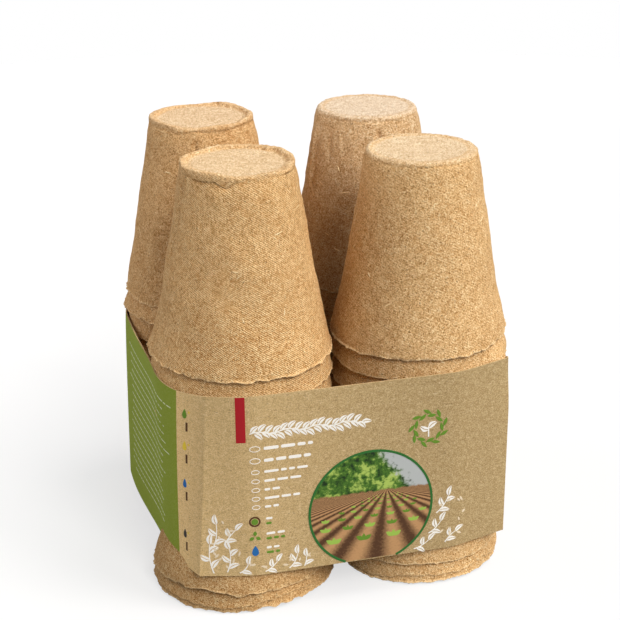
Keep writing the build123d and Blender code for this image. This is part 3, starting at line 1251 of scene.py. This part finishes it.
    def finish(self):
        """Makes the mesh, which rides with the sleeve."""
        points = np.concatenate(self.points)
        faces = [[int(number) for number in face] for face in self.faces]
        piece = add_piece(self.name, points, faces, [self.material], np.concatenate(self.grain))
        piece.data.polygons.foreach_set("use_smooth", [False] * len(piece.data.polygons))
        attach(piece, "sleeve")


FLAP_LENGTH = 11.5
FLAP_GAP = 0.02
FLAP_POINTS = 6


def make_flap(material):
    """The glue flap inside the back right corner."""
    flap = Layer("sleeve_flap", material, -CARD - FLAP_GAP, -2 * CARD)
    start = BACK_RUN + BACK_CORNER / 2 + CREASE_HALF
    runs = np.linspace(start, start + FLAP_LENGTH, FLAP_POINTS)
    middle = (BAND_BOTTOM + BAND_TOP) / 2
    flap.stroke(level_line(runs, middle), BAND_TOP - BAND_BOTTOM)
    flap.finish()


PRINT_MARGIN = 0.5
PRINT_LEFT = -47.7
GARLAND_RIGHT = 7.5
GARLAND_HEIGHT = 89.4
GARLAND_LEAF = 4.6
GARLAND_PITCH = 3.3
GARLAND_STEM = 0.55
GARLAND_START = 0.6
GARLAND_OFFSET = 0.2
GARLAND_WAVE = 0.7
GARLAND_SPREAD = 0.75
GARLAND_LEAF_SHARE = 0.42
BAR_INDENT = 6.0
OVAL_RUN = PRINT_LEFT + 2.2
OVAL_WIDTH_SHARE = 1.5
OVAL_HEIGHT_SHARE = 0.85
OVAL_LINE = 0.3
OVAL_POINTS = 28
# Rows of bars: height, right end and thickness
BAR_ROWS = (
    (82.0, -19.6, 1.5),
    (76.2, -20.6, 1.5),
    (70.7, -22.0, 1.15),
    (66.2, -24.3, 1.15),
    (61.9, -34.7, 1.15),
    (57.6, -25.3, 1.15),
    (53.4, -35.3, 1.15),
)
ICON_RUN = -46.3
ICON_HEIGHTS = (46.3, 38.7, 31.6)
ICON_RADIUS = 2.2
ICON_RING = 0.8
ICON_DISC_RADIUS = 1.5
ICON_LEAF = (2.5, 1.7)
ICON_LEAF_START = 0.4
ICON_DROP = (2.0, 2.6)
ICON_BAR_ENDS = (-37.7, -32.8, -35.2)
ICON_INDENT = 5.0
ICON_BAR_RISE = 1.1
ICON_BAR_DROP = 1.3
ICON_BAR_TALL = 1.1
WREATH_RUN = 33.3
WREATH_HEIGHT = 81.7
WREATH_RADIUS = 7.0
WREATH_LEAVES = 18
WREATH_LEAF = (4.4, 1.6)
WREATH_LEANS = (-0.35, 0.55)
SPROUT_RISES = np.linspace(-4.4, 0.6, 4)
SPROUT_STEM = 0.6
SPROUT_LEAVES = ((0.0, 4.6, 2.3, 0.6), (-1.0, 4.4, 2.2, math.pi - 0.5))
TAB_LEFT = -53.5
TAB_RIGHT = -49.3
TAB_BOTTOM = 85.3
TAB_MARGIN = 0.1


def rectangle(left, right, low, high):
    """Outline with a point every few millimetres."""
    across = np.linspace(left, right, 5)
    up = np.linspace(low, high, 9)
    lower = level_line(across[:-1], low)
    upper = level_line(across[:0:-1], high)
    return np.concatenate([lower, upright_line(right, up[:-1]), upper, upright_line(left, up[:0:-1])])


SEEDLING_ROWS = range(-4, 4)
SEEDLING_DEPTH_SHARES = [0.1 * 1.36**index for index in range(9)]
SEEDLING_REACH_SHARE = 0.88
SEEDLING_LOW_SHARE = 0.82
SEEDLING_SIZE = 5.0
SEEDLING_WIDTH_SHARE = 0.5
SEEDLING_LEAVES = ((1.0, 0.6), (1.0, math.pi - 0.6), (0.8, QUARTER))


def print_picture(picture, ring, leaf, young):
    """Round picture that runs off the sleeve's bottom edge, with its ring and rows of seedlings."""
    cut = math.asin((BAND_BOTTOM + PRINT_MARGIN - PICTURE_HEIGHT) / PICTURE_RADIUS)
    turn = np.linspace(cut, math.pi - cut, PICTURE_POINTS)
    arc = np.column_stack([np.cos(turn), np.sin(turn)]) * PICTURE_RADIUS + [PICTURE_RUN, PICTURE_HEIGHT]
    picture.blob(arc)
    ring.stroke(arc, PICTURE_RING)
    for row in SEEDLING_ROWS:
        fan = (QUARTER + FULL_TURN * row) / FURROWS
        for index, depth in enumerate(SEEDLING_DEPTH_SHARES):
            across = VANISHING_SHARE + fan * depth
            up = HORIZON_SHARE - depth
            if math.hypot(across, up) > SEEDLING_REACH_SHARE or up < -SEEDLING_LOW_SHARE:
                continue
            run = PICTURE_RUN + across * PICTURE_RADIUS
            height = PICTURE_HEIGHT + up * PICTURE_RADIUS
            ink = young if (row + index) % 2 else leaf
            for size_share, angle in SEEDLING_LEAVES:
                size = size_share * SEEDLING_SIZE * depth
                ink.leaflet(run, height, size, SEEDLING_WIDTH_SHARE * size, angle)


def print_garland(white):
    """Garland of leaves along the top of the front."""
    runs = np.arange(PRINT_LEFT, GARLAND_RIGHT - GARLAND_LEAF, 1.0)
    wave = GARLAND_HEIGHT + GARLAND_WAVE * np.sin((runs - PRINT_LEFT) * FULL_TURN / (4 * GARLAND_PITCH))
    wide = GARLAND_LEAF_SHARE * GARLAND_LEAF
    white.stroke(np.column_stack([runs, wave]), GARLAND_STEM)
    count = int((runs[-1] - PRINT_LEFT) / GARLAND_PITCH)
    for index in range(count):
        run = PRINT_LEFT + GARLAND_START + index * GARLAND_PITCH
        height = float(np.interp(run, runs, wave))
        white.leaf(run, height + GARLAND_OFFSET, GARLAND_LEAF, wide, GARLAND_SPREAD)
        white.leaf(run + GARLAND_PITCH / 2, height - GARLAND_OFFSET, GARLAND_LEAF, wide, -GARLAND_SPREAD)
    white.leaf(runs[-1], wave[-1], GARLAND_LEAF, wide, 0.0)


def print_bars(white):
    """Rows of bars on the front, with a blank oval before each, and bars beside the signs."""
    rng = np.random.default_rng(SEED + 1)
    for height, right, tall in BAR_ROWS:
        blank = oval(OVAL_RUN, height, OVAL_WIDTH_SHARE * tall, OVAL_HEIGHT_SHARE * tall, OVAL_POINTS)
        white.stroke(blank, OVAL_LINE, closed=True)
        white.bars(rng, PRINT_LEFT + BAR_INDENT, right, height, tall)
    for height, right in zip(ICON_HEIGHTS, ICON_BAR_ENDS):
        white.bars(rng, ICON_RUN + ICON_INDENT, right, height + ICON_BAR_RISE, ICON_BAR_TALL)


LEAF_FOOT = BAND_BOTTOM + 1.5
# Sprigs: place along the card, rise over the foot, direction, length, bend, leaves and their size
SPRIGS = (
    (-65.0, 0.0, 1.9, 15, -0.5, 3, 5.6),
    (-65.0, 13.0, 1.2, 12, 0.5, 2, 5.2),
    (-59.0, 0.5, 1.2, 12, 0.6, 3, 5.2),
    (-60.0, 14.5, 1.1, 9, -0.3, 2, 4.8),
    (-53.5, 0.0, 0.5, 6, 0.8, 1, 4.6),
    (-42.0, 0.0, 0.4, 7, 0.6, 2, 4.6),
    (-31.0, 0.0, 0.7, 8, 0.8, 2, 4.8),
    (-24.0, 0.0, 1.2, 5, 0.4, 1, 4.4),
    (27.5, 0.3, 0.2, 8, 0.6, 2, 4.6),
    (34.5, 7.5, 0.5, 8, 0.6, 2, 5.0),
    (38.0, 17.5, 0.7, 10, 0.6, 3, 5.0),
    (42.5, 1.5, 1.0, 7, -0.5, 2, 4.8),
)
LEAFLET_LENGTHS = (2.0, 3.2)
LEAFLET_WIDTHS = (0.9, 1.2)
# Beds of leaflets: left and right ends, least and most rise over the foot, and count
LEAFLET_BEDS = (
    (-70.0, -53.0, 1.0, 13.0, 8),
    (-49.0, -40.0, 1.0, 5.0, 4),
    (-69.0, -58.0, 14.0, 26.0, 6),
    (-38.0, -20.0, 1.0, 5.0, 6),
    (40.0, 51.0, 1.0, 24.0, 9),
)


def print_leaves(white, faint):
    """Leaf ornament in the lower corners of the front."""
    for run, height, *shape in SPRIGS:
        white.sprig(run, LEAF_FOOT + height, *shape)
    rng = np.random.default_rng(SEED + 2)
    for left, right, low, high, count in LEAFLET_BEDS:
        for _ in range(count):
            run = rng.uniform(left, right)
            height = LEAF_FOOT + rng.uniform(low, high)
            length = rng.uniform(*LEAFLET_LENGTHS)
            faint.leaflet(run, height, length, rng.uniform(*LEAFLET_WIDTHS), rng.uniform(0, math.pi))


def print_wreath(leaf, white):
    """Wreath of small leaves with a young plant in it."""
    for index, turn in enumerate(full_turn(WREATH_LEAVES)):
        run = WREATH_RUN + WREATH_RADIUS * math.cos(turn)
        height = WREATH_HEIGHT + WREATH_RADIUS * math.sin(turn)
        leaf.leaflet(run, height, *WREATH_LEAF, turn + QUARTER + WREATH_LEANS[index % 2])
    white.stroke(upright_line(WREATH_RUN, WREATH_HEIGHT + SPROUT_RISES), SPROUT_STEM)
    for rise, *shape in SPROUT_LEAVES:
        white.leaf(WREATH_RUN, WREATH_HEIGHT + rise, *shape)


STRIP_HEIGHTS = (97.0, 81.0, 62.0, 36.0)
STRIP_RUN = 6.2
STRIP_ASIDE = 1.2
STRIP_DROP = (1.5, 2.3)
STRIP_DOT_RISE = 1.0
STRIP_DOT_RADIUS = 0.5
STRIP_BAR = 1.1
STRIP_BAR_DROPS = np.linspace(4.2, 8.6, 4)


def print_icons(green, brown, blue, dark, yellow):
    """Small plain signs beside the bars and on the strip beside the green."""
    ring = oval(ICON_RUN, ICON_HEIGHTS[0], ICON_RADIUS, ICON_RADIUS, ROUND_POINTS)
    brown.stroke(ring, ICON_RING, closed=True)
    green.disc(ICON_RUN, ICON_HEIGHTS[0], ICON_DISC_RADIUS)
    for turn in (QUARTER, QUARTER + FULL_TURN / 3, QUARTER - FULL_TURN / 3):
        run = ICON_RUN + ICON_LEAF_START * math.cos(turn)
        height = ICON_HEIGHTS[1] + ICON_LEAF_START * math.sin(turn)
        green.leaflet(run, height, *ICON_LEAF, turn)
    turn = full_turn(ROUND_POINTS)
    drop = np.column_stack([np.sin(turn) * np.sin(turn / 2), np.cos(turn)])
    blue.blob(drop * ICON_DROP + [ICON_RUN, ICON_HEIGHTS[2]])
    rng = np.random.default_rng(SEED + 3)
    for height, right in zip(ICON_HEIGHTS, ICON_BAR_ENDS):
        green.bars(rng, ICON_RUN + ICON_INDENT, right, height - ICON_BAR_DROP, ICON_BAR_TALL)
    for height, ink in zip(STRIP_HEIGHTS, (green, yellow, blue, dark)):
        ink.blob(drop * STRIP_DROP + [STRIP_RUN - STRIP_ASIDE, height], strip)
        yellow.disc(STRIP_RUN + STRIP_ASIDE, height + STRIP_DOT_RISE, STRIP_DOT_RADIUS, strip)
        brown.stroke(upright_line(STRIP_RUN, height - STRIP_BAR_DROPS), STRIP_BAR, strip)


SIDE_TOP = 97.0
SIDE_PITCH = 4.1
SIDE_INDENTS = (4, 12, 13, 10, 11, 8, 6, 13, 14, 11, 15, 17, 16, 14, 18, 15, 17)
SIDE_LEFT = 178.0
SIDE_RAGGED = 6
SIDE_TALL = 0.5


def print_side(side):
    """Rows of fine bars along the green side."""
    rng = np.random.default_rng(SEED + 4)
    for row, indent in enumerate(SIDE_INDENTS):
        height = SIDE_TOP - row * SIDE_PITCH
        start = float(green_edge(height)) + indent
        side.bars(rng, -SIDE_LEFT + rng.uniform(0, SIDE_RAGGED), -start, height, SIDE_TALL)


# Light, floor and camera

FLOOR_REACH = 1100.0
FLOOR_COLOUR = (0.31, 0.31, 0.31, 1.0)
FLOOR_GLOW = 0.645
FLOOR_POINTS = 96
WHITE = (1.0, 1.0, 1.0, 1.0)


def make_floor():
    """Pale floor that is white where no shadow falls."""
    finish = Finish("floor", 0.9, 0.0)
    finish.shader.inputs["Base Color"].default_value = FLOOR_COLOUR
    seen = finish.times(finish.add("LightPath", {}).outputs["Is Camera Ray"], FLOOR_GLOW)
    emission = finish.add("Emission", {"Color": WHITE, "Strength": seen})
    both = finish.add("AddShader", {0: finish.shader.outputs[0], 1: emission.outputs[0]})
    finish.feed(finish.tree.nodes["Material Output"].inputs["Surface"], both.outputs[0])
    edge = oval(0, 0, FLOOR_REACH, FLOOR_REACH, FLOOR_POINTS)
    points = np.column_stack([edge, np.zeros(len(edge))])
    floor = add_piece("floor", points, [list(range(len(edge)))], [finish.material], points)


AMBIENT = 0.2
COOL = (0.97, 0.98, 1.06)
WARM = (1.0, 0.98, 0.95)
FILL_TINT = (1.0, 0.95, 0.92)
LAMP_DISTANCE = 1.5
KEY_SPREAD = math.radians(25)
# Key lights: name, azimuth and elevation in degrees, and strength
KEYS = (
    ("key", 55, 40, 1.18),
    ("front_key", 15, 40, 1.64),
    ("top_key", 75, 65, 1.3),
)
FILL_AZIMUTH = -110
FILL_ELEVATION = 30
FILL_SIZE = 1.0
FILL_POWER = 7.5


def make_world():
    """Even, slightly cool studio light from all round, white to the camera."""
    world = bpy.data.worlds.new("studio")
    bpy.context.scene.world = world
    world.use_nodes = True
    nodes = Nodes(world.node_tree)
    path = nodes.add("LightPath", {}).outputs
    seen = nodes.math("MAXIMUM", path["Is Camera Ray"], path["Is Glossy Ray"])
    ambient = [AMBIENT * part for part in COOL] + [1.0]
    background = nodes.tree.nodes["Background"]
    nodes.feed(background.inputs["Color"], nodes.mix(seen, ambient, WHITE))


def direction_to(azimuth, elevation):
    """Direction from the pack to a place round it: zero is the front, and to the right counts up."""
    flat = math.cos(elevation)
    return Vector((math.sin(azimuth) * flat, -math.cos(azimuth) * flat, math.sin(elevation)))


def aim(lamp, azimuth, elevation):
    """Puts a lamp in the scene so that it looks at the middle of the pack, from angles in degrees."""
    holder = bpy.data.objects.new(lamp.name, lamp)
    back = direction_to(math.radians(azimuth), math.radians(elevation))
    holder.location = Vector((0, 0, POT_HEIGHT * MM)) + back * LAMP_DISTANCE
    holder.rotation_euler = back.to_track_quat("Z", "Y").to_euler()
    bpy.context.scene.collection.objects.link(holder)


def make_key(name, azimuth, elevation, strength):
    """Broad even light from afar."""
    lamp = bpy.data.lights.new(name, "SUN")
    lamp.angle = KEY_SPREAD
    lamp.energy = strength
    lamp.color = WARM
    aim(lamp, azimuth, elevation)


def make_fill():
    """Soft square lamp for the side away from the key."""
    lamp = bpy.data.lights.new("fill", "AREA")
    lamp.shape = "SQUARE"
    lamp.size = FILL_SIZE
    lamp.energy = FILL_POWER
    lamp.color = FILL_TINT
    aim(lamp, FILL_AZIMUTH, FILL_ELEVATION)


CAMERA_AZIMUTH = math.radians(-14.578)
CAMERA_ELEVATION = math.radians(22.061)
CAMERA_ROLL = math.radians(-0.532)
CAMERA_DISTANCE = 706.526
CAMERA_TARGET = Vector((1.263, 1.277, 108.985))
CAMERA_LENS = 85.24
CAMERA_SENSOR = 36.0
CAMERA_NEAR = 0.01


def make_camera():
    """Camera at the photograph's place."""
    lens = bpy.data.cameras.new("camera")
    lens.sensor_width = CAMERA_SENSOR
    lens.lens = CAMERA_LENS
    lens.clip_start = CAMERA_NEAR
    camera = bpy.data.objects.new("camera", lens)
    back = direction_to(CAMERA_AZIMUTH, CAMERA_ELEVATION)
    right = Vector((math.cos(CAMERA_AZIMUTH), math.sin(CAMERA_AZIMUTH), 0))
    up = back.cross(right)
    rolled_right = right * math.cos(CAMERA_ROLL) + up * math.sin(CAMERA_ROLL)
    rolled_up = up * math.cos(CAMERA_ROLL) - right * math.sin(CAMERA_ROLL)
    place = Matrix((rolled_right, rolled_up, back)).transposed().to_4x4()
    place.translation = (CAMERA_TARGET + back * CAMERA_DISTANCE) * MM
    camera.matrix_world = place
    bpy.context.scene.collection.objects.link(camera)
    bpy.context.scene.camera = camera


# Inks: the name of each layer of print and of its finish, its colour, and how many layers high it stands
INKS = (
    ("white", "white_ink", (255, 251, 242), 1),
    ("faint", "faint_white_ink", (236, 219, 190), 1),
    ("side", "side_ink", (222, 230, 190), 1),
    ("ring", "ring_ink", (52, 110, 52), 4),
    ("leaf", "leaf_ink", (106, 146, 50), 3),
    ("young", "young_leaf_ink", (160, 196, 84), 3),
    ("brown", "brown_ink", (92, 62, 38), 1),
    ("blue", "blue_ink", (44, 110, 176), 1),
    ("dark", "dark_ink", (70, 66, 62), 1),
    ("yellow", "yellow_ink", (236, 206, 70), 1),
    ("red", "red_ink", (176, 32, 40), 1),
)

# Painted light and shade on the kraft card: its tone is made paler on the left of the front and on
# the strip beside the green, darker towards the right of the front, and changed on the sides, to even
# out how the lamps fall on it: from where to where, and the factors there
KRAFT_PAINTED_LIGHT = (
    (-120.0, -100.0, 0.566, 1.0),
    (-84.0, -72.0, 1.25, 1.0),
    (-72.0, -67.0, 1.14, 1.0),
    (-66.0, 10.0, 1.24, 0.93),
    (10.0, 60.0, 1.0, 0.93),
    (66.0, 90.0, 1.0, 1.156),
)

# The pack

pulp = fibre_finish()
straw = straw_finish()
kraft = card_finish("kraft_card", KRAFT_BROWN, 0.68, KRAFT_PAINTED_LIGHT)
green_card = card_finish("green_card", CARD_GREEN, 0.16)
cut_edge = card_finish("card_edge", CUT_EDGE_BROWN, 0.4)
kraft_inside = card_finish("kraft_inside", INSIDE_BROWN, 0.5)

for stack in STACKS:
    for level in ALL_LEVELS:
        make_pot(stack, level, pot_look(stack, level), [pulp, straw])

make_sleeve([kraft, green_card, cut_edge, kraft_inside])
make_flap(kraft_inside)

inks = {}
for name, finish_name, colour, layers in INKS:
    inks[name] = Layer(f"print_{name}", ink_finish(finish_name, srgb(*colour)), layers * INK)
inks["picture"] = Layer("print_picture", picture_finish(), 2 * INK)
print_picture(inks["picture"], inks["ring"], inks["leaf"], inks["young"])
print_garland(inks["white"])
print_bars(inks["white"])
print_leaves(inks["white"], inks["faint"])
print_wreath(inks["leaf"], inks["white"])
print_icons(inks["leaf"], inks["brown"], inks["blue"], inks["dark"], inks["yellow"])
print_side(inks["side"])
inks["red"].blob(rectangle(TAB_LEFT, TAB_RIGHT, TAB_BOTTOM, BAND_TOP - TAB_MARGIN))
for ink in inks.values():
    ink.finish()

make_floor()
make_world()
for key in KEYS:
    make_key(*key)
make_fill()
make_camera()

bpy.context.scene.view_settings.view_transform = "Standard"
